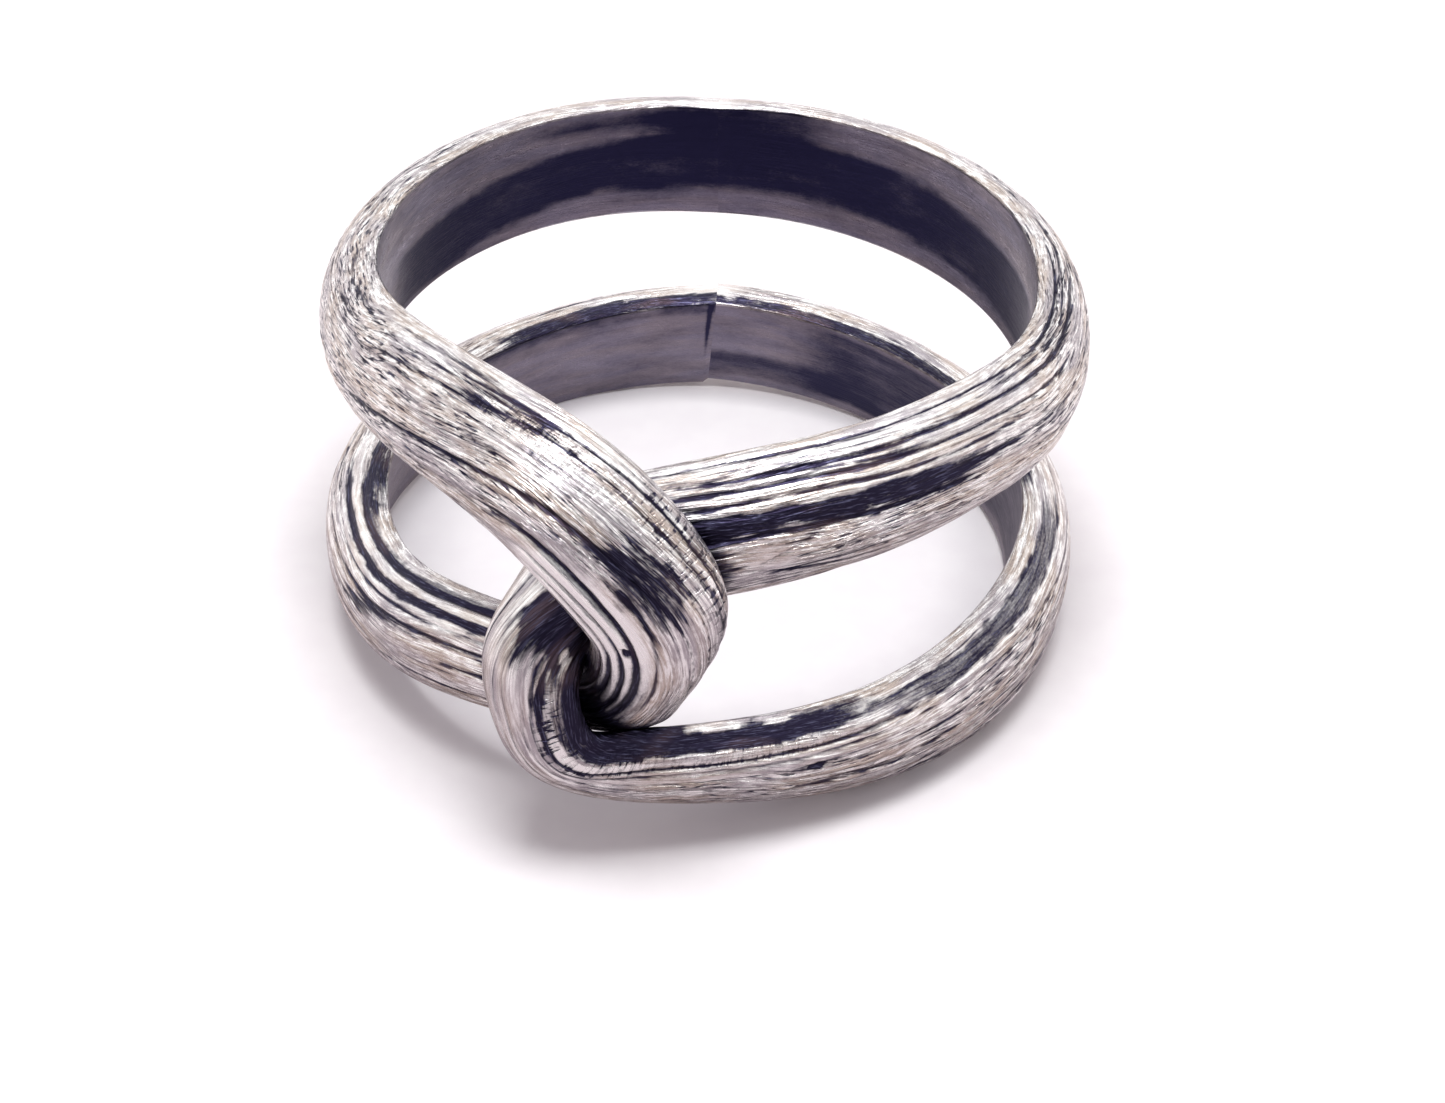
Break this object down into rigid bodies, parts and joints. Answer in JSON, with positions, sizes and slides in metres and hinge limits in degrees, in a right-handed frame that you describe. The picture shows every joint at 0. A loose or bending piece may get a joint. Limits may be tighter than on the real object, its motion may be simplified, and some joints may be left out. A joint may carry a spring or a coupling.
{
  "type": "finger ring",
  "caption": "Finger ring of half-round silver wire: hairpin loops hooked through each other at the front in a knot, soldered end to end at the back.",
  "frame": {"origin": "middle of the bounding box's footprint, on the plane that the ring stands on; the bore axis is 1.3 mm behind it, towards +Y, because the knot stands out at the front", "axes": "+Z along the bore axis, -Y towards the knot, +Y towards the solder seams, +X to the wearer's side that the right loop fills"},
  "size_m": [0.0226, 0.0252, 0.0149],
  "materials": {
    "silver": "polished ridges over dark oxidised grooves",
    "solder": "dull, oxidised"
  },
  "bodies": {
    "root": {"left_loop": "silver", "right_loop": "silver", "upper_solder_seam": "solder", "lower_solder_seam": "solder"}
  },
  "joints": []
}
